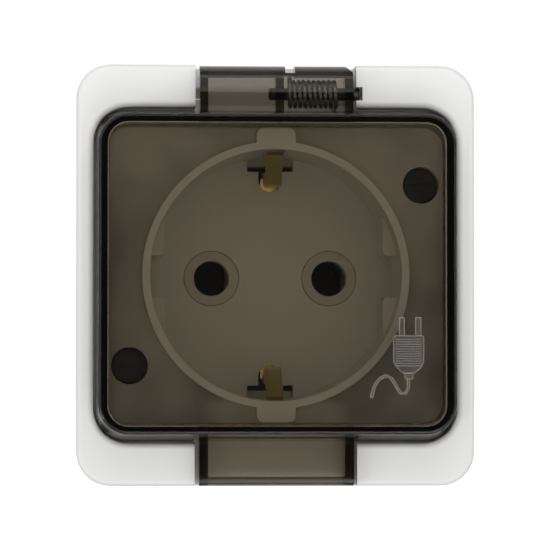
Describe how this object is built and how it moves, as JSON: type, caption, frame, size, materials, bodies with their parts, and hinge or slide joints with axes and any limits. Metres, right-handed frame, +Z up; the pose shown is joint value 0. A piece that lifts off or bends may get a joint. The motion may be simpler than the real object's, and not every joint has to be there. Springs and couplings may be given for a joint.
{
  "type": "surface-mounted weatherproof socket",
  "caption": "Square wall socket for outdoor use: box and cover, sunk round plug well with earth clips, and a sprung smoked lid hinged at the top.",
  "frame": {"origin": "centre of the back face, on the wall", "axes": "+X to the right seen from the front, +Y into the wall, +Z up; the front faces -Y"},
  "size_m": [0.0624, 0.048, 0.066],
  "materials": {
    "white_shell": "satin moulded plastic",
    "smoked_lid": "clear brown-grey tinted plastic",
    "black_rubber": "soft matt rubber",
    "pale_seal": "soft off-white seal",
    "grommet_rubber": "soft grey rubber",
    "dark_pin": "darkened steel",
    "spring_wire": "drawn spring wire",
    "carrier": "moulded insulating plastic",
    "brass": "stamped brass",
    "zinc_screw": "zinc-plated steel",
    "black_screw": "black coated steel"
  },
  "bodies": {
    "housing": {"back_box": "white_shell", "cover_gasket": "black_rubber", "front_cover": "white_shell", "lid_gasket": "pale_seal", "hinge_spring": "spring_wire", "contact_base": "carrier", "contact_cap": "carrier", "line_contact": "brass", "neutral_contact": "brass", "earth_bracket": "brass", "cable_grommet": "grommet_rubber", "line_terminal": "brass", "line_terminal_screw": "zinc_screw", "neutral_terminal": "brass", "neutral_terminal_screw": "zinc_screw", "earth_terminal": "brass", "earth_terminal_screw": "zinc_screw", "carrier_screw_upper": "zinc_screw", "carrier_screw_lower": "zinc_screw", "cover_screw_seal_upper": "black_rubber", "cover_screw_upper": "black_screw", "cover_screw_seal_lower": "black_rubber", "cover_screw_lower": "black_screw"},
    "lid": {"lid": "smoked_lid", "hinge_pin": "dark_pin"}
  },
  "joints": [
    {"name": "lid_hinge", "type": "hinge", "parent": "housing", "child": "lid", "pos_m": [0, -0.0404, 0.0285], "axis": [-1, 0, 0], "range_deg": [0, 95], "stiffness_Nm_per_rad": 0.012, "springref_deg": -45.84, "deforming": ["hinge_spring"]}
  ]
}
